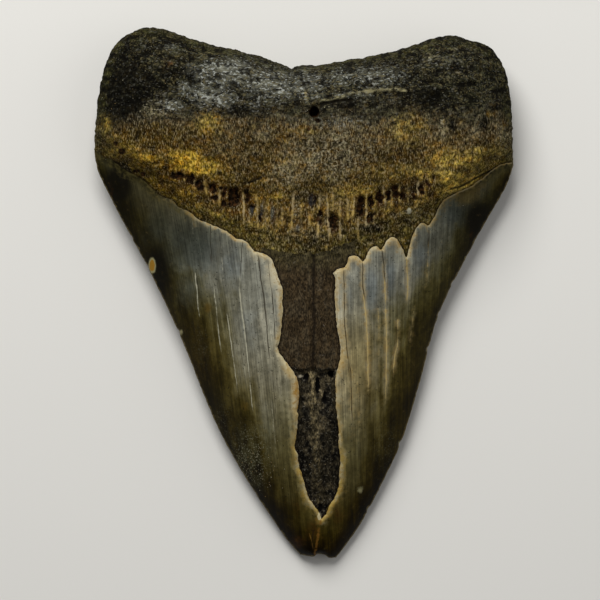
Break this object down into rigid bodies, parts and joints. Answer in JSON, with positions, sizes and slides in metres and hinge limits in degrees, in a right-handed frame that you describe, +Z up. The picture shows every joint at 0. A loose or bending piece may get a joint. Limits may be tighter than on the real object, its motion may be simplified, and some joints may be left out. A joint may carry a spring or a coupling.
{
  "type": "fossil megalodon tooth",
  "caption": "Large triangular fossil shark tooth with a thick root, worn neck and split enamel, lying on its flatter labial face.",
  "frame": {"origin": "on the resting plane, below the middle of the tooth's outline", "axes": "+X across the tooth to the right seen from the lingual face, +Y towards the root, +Z up out of the lingual face"},
  "size_m": [0.0988, 0.1252, 0.0287],
  "materials": {
    "tooth": "mineralised tooth: satin grey-green enamel, matte ochre and black root"
  },
  "bodies": {
    "root": {"tooth": "tooth"}
  },
  "joints": []
}
